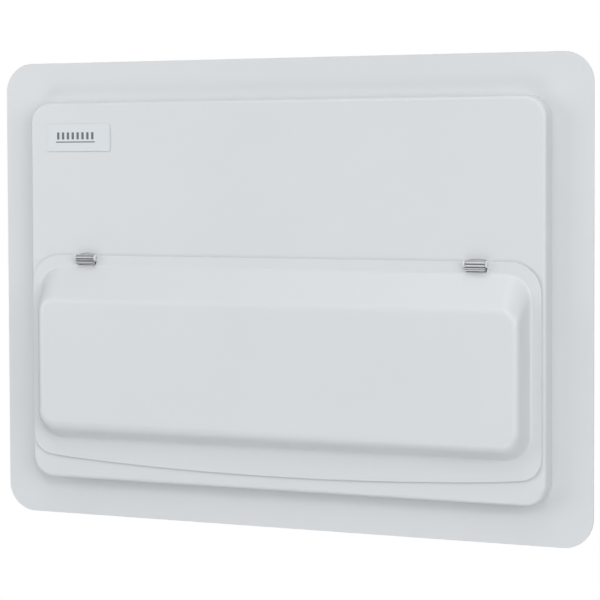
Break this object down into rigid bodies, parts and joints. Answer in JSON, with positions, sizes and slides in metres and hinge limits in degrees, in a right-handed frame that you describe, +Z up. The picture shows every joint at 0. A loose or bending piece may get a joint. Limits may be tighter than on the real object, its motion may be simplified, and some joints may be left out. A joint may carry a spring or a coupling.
{
  "type": "fuse box panel",
  "caption": "Flush-mounted metal fuse box with a rounded frame, a front cover and a top-hinged lid over a row of switches and breakers on a rail.",
  "frame": {"origin": "centre of the rear face of the box", "axes": "+X to the right along the row of devices, +Z up, -Y out of the wall towards the user"},
  "size_m": [0.392, 0.1029, 0.295],
  "materials": {
    "white_powder_coat": "satin powder coat",
    "galvanised_steel": "galvanised",
    "bright_steel": "bright zinc plate",
    "label_film": "printed film",
    "device_case": "fine satin moulding",
    "lever_dark": "satin moulding",
    "lever_red": "satin moulding",
    "test_button": "satin moulding",
    "blank_plastic": "satin moulding",
    "copper": "bright copper",
    "brass": "bright brass",
    "grey_plastic": "satin moulding",
    "rubber": "matt"
  },
  "bodies": {
    "enclosure": {"back_box": "galvanised_steel", "flush_frame": "white_powder_coat", "front_cover": "white_powder_coat", "frame_screw_left": "bright_steel", "frame_screw_right": "bright_steel", "cover_screw_left": "bright_steel", "cover_screw_right": "bright_steel", "cover_pillar_left": "galvanised_steel", "cover_pillar_right": "galvanised_steel", "hinge_clip_left": "bright_steel", "hinge_clip_right": "bright_steel", "badge": "label_film", "circuit_label_strip": "label_film", "din_rail": "galvanised_steel", "rail_bracket_left": "galvanised_steel", "rail_bracket_right": "galvanised_steel", "din_rail_screw_left": "bright_steel", "din_rail_screw_right": "bright_steel", "blank_plate": "blank_plastic", "busbar": "copper", "busbar_shroud": "grey_plastic", "neutral_bar": "brass", "neutral_bar_carrier": "grey_plastic", "earth_bar": "brass", "earth_bar_carrier": "grey_plastic", "cable_grommet": "rubber", "tail_grommet": "rubber", "tail_clamp_base": "grey_plastic", "tail_clamp_strap": "grey_plastic", "surge_protector_body": "device_case", "main_switch_body": "device_case", "rcbo_1_body": "device_case", "rcbo_2_body": "device_case", "rcbo_3_body": "device_case", "rcbo_4_body": "device_case", "rcbo_5_body": "device_case", "rcbo_6_body": "device_case", "rcbo_7_body": "device_case", "rcbo_8_body": "device_case"},
    "lid": {"lid": "white_powder_coat", "hinge_pin_left": "bright_steel", "hinge_pin_right": "bright_steel"},
    "main_switch_lever": {"main_switch_lever": "lever_red"},
    "rcbo_1_lever": {"rcbo_1_lever": "lever_dark"},
    "rcbo_1_test_button": {"rcbo_1_test_button": "test_button"},
    "rcbo_2_lever": {"rcbo_2_lever": "lever_dark"},
    "rcbo_2_test_button": {"rcbo_2_test_button": "test_button"},
    "rcbo_3_lever": {"rcbo_3_lever": "lever_dark"},
    "rcbo_3_test_button": {"rcbo_3_test_button": "test_button"},
    "rcbo_4_lever": {"rcbo_4_lever": "lever_dark"},
    "rcbo_4_test_button": {"rcbo_4_test_button": "test_button"},
    "rcbo_5_lever": {"rcbo_5_lever": "lever_dark"},
    "rcbo_5_test_button": {"rcbo_5_test_button": "test_button"},
    "rcbo_6_lever": {"rcbo_6_lever": "lever_dark"},
    "rcbo_6_test_button": {"rcbo_6_test_button": "test_button"},
    "rcbo_7_lever": {"rcbo_7_lever": "lever_dark"},
    "rcbo_7_test_button": {"rcbo_7_test_button": "test_button"},
    "rcbo_8_lever": {"rcbo_8_lever": "lever_dark"},
    "rcbo_8_test_button": {"rcbo_8_test_button": "test_button"}
  },
  "joints": [
    {"name": "lid_hinge", "type": "hinge", "parent": "enclosure", "child": "lid", "pos_m": [0, -0.0894, 0.0217], "axis": [-1, 0, 0], "range_deg": [0, 105]},
    {"name": "main_switch_toggle", "type": "hinge", "parent": "enclosure", "child": "main_switch_lever", "pos_m": [0.126, -0.084, -0.044], "axis": [-1, 0, 0], "range_deg": [0, 80]},
    {"name": "rcbo_1_toggle", "type": "hinge", "parent": "enclosure", "child": "rcbo_1_lever", "pos_m": [-0.063, -0.084, -0.044], "axis": [-1, 0, 0], "range_deg": [0, 80]},
    {"name": "rcbo_1_test_press", "type": "slide", "parent": "enclosure", "child": "rcbo_1_test_button", "axis": [0, 1, 0], "range_m": [0, 0.0015], "stiffness_N_per_m": 300},
    {"name": "rcbo_2_toggle", "type": "hinge", "parent": "enclosure", "child": "rcbo_2_lever", "pos_m": [-0.045, -0.084, -0.044], "axis": [-1, 0, 0], "range_deg": [0, 80]},
    {"name": "rcbo_2_test_press", "type": "slide", "parent": "enclosure", "child": "rcbo_2_test_button", "axis": [0, 1, 0], "range_m": [0, 0.0015], "stiffness_N_per_m": 300},
    {"name": "rcbo_3_toggle", "type": "hinge", "parent": "enclosure", "child": "rcbo_3_lever", "pos_m": [-0.027, -0.084, -0.044], "axis": [-1, 0, 0], "range_deg": [0, 80]},
    {"name": "rcbo_3_test_press", "type": "slide", "parent": "enclosure", "child": "rcbo_3_test_button", "axis": [0, 1, 0], "range_m": [0, 0.0015], "stiffness_N_per_m": 300},
    {"name": "rcbo_4_toggle", "type": "hinge", "parent": "enclosure", "child": "rcbo_4_lever", "pos_m": [-0.009, -0.084, -0.044], "axis": [-1, 0, 0], "range_deg": [0, 80]},
    {"name": "rcbo_4_test_press", "type": "slide", "parent": "enclosure", "child": "rcbo_4_test_button", "axis": [0, 1, 0], "range_m": [0, 0.0015], "stiffness_N_per_m": 300},
    {"name": "rcbo_5_toggle", "type": "hinge", "parent": "enclosure", "child": "rcbo_5_lever", "pos_m": [0.009, -0.084, -0.044], "axis": [-1, 0, 0], "range_deg": [0, 80]},
    {"name": "rcbo_5_test_press", "type": "slide", "parent": "enclosure", "child": "rcbo_5_test_button", "axis": [0, 1, 0], "range_m": [0, 0.0015], "stiffness_N_per_m": 300},
    {"name": "rcbo_6_toggle", "type": "hinge", "parent": "enclosure", "child": "rcbo_6_lever", "pos_m": [0.027, -0.084, -0.044], "axis": [-1, 0, 0], "range_deg": [0, 80]},
    {"name": "rcbo_6_test_press", "type": "slide", "parent": "enclosure", "child": "rcbo_6_test_button", "axis": [0, 1, 0], "range_m": [0, 0.0015], "stiffness_N_per_m": 300},
    {"name": "rcbo_7_toggle", "type": "hinge", "parent": "enclosure", "child": "rcbo_7_lever", "pos_m": [0.045, -0.084, -0.044], "axis": [-1, 0, 0], "range_deg": [0, 80]},
    {"name": "rcbo_7_test_press", "type": "slide", "parent": "enclosure", "child": "rcbo_7_test_button", "axis": [0, 1, 0], "range_m": [0, 0.0015], "stiffness_N_per_m": 300},
    {"name": "rcbo_8_toggle", "type": "hinge", "parent": "enclosure", "child": "rcbo_8_lever", "pos_m": [0.063, -0.084, -0.044], "axis": [-1, 0, 0], "range_deg": [0, 80]},
    {"name": "rcbo_8_test_press", "type": "slide", "parent": "enclosure", "child": "rcbo_8_test_button", "axis": [0, 1, 0], "range_m": [0, 0.0015], "stiffness_N_per_m": 300}
  ]
}
